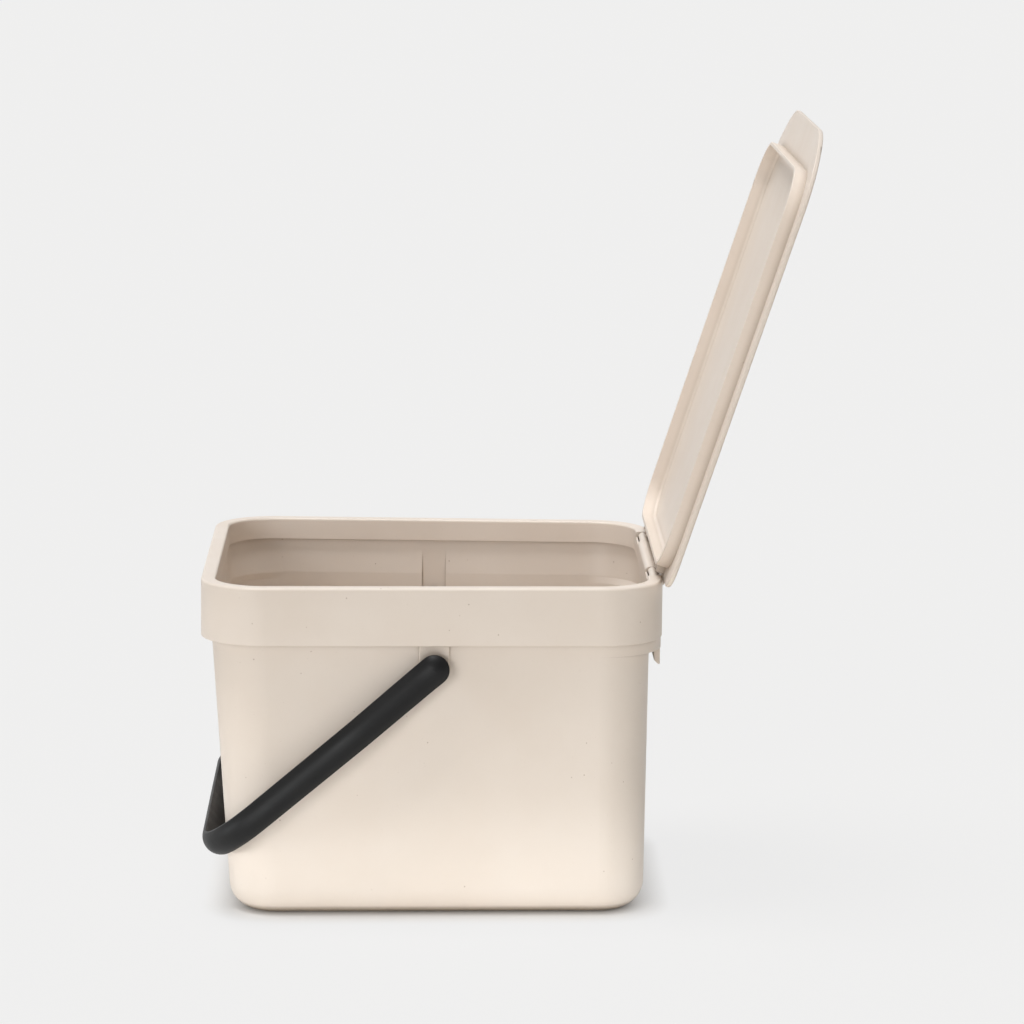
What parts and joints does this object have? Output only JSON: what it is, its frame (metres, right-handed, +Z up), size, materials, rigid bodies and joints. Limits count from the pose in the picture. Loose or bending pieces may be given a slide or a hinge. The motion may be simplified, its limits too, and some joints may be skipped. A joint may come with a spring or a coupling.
{
  "type": "waste bin",
  "caption": "Small lidded waste bin: tapered bucket, deep clip-on rim, tray-shaped lid hinged at the rear, and a strap carrying handle.",
  "frame": {"origin": "centre of the base on the floor, under the middle of the rim", "axes": "+Z up, -Y towards the front with the lid's grip tab, +Y towards the hinge, +X to the side seen in the picture"},
  "size_m": [0.1938, 0.2606, 0.3354],
  "materials": {
    "pale_plastic": "satin, fine dark flecks",
    "dark_plastic": "satin"
  },
  "bodies": {
    "bucket": {"bucket": "pale_plastic"},
    "rim_ring": {"rim_ring": "pale_plastic"},
    "lid": {"lid": "pale_plastic"},
    "handle": {"handle": "dark_plastic"}
  },
  "joints": [
    {"name": "ring_lift", "type": "slide", "parent": "bucket", "child": "rim_ring", "axis": [0, 0, 1], "range_m": [0, 0.03]},
    {"name": "lid_hinge", "type": "hinge", "parent": "rim_ring", "child": "lid", "pos_m": [0, 0.095, 0.1424], "axis": [1, 0, 0], "range_deg": [0, 108.1]},
    {"name": "handle_swing", "type": "hinge", "parent": "bucket", "child": "handle", "pos_m": [0, 0.001, 0.11], "axis": [-1, 0, 0], "range_deg": [0, 165]}
  ]
}
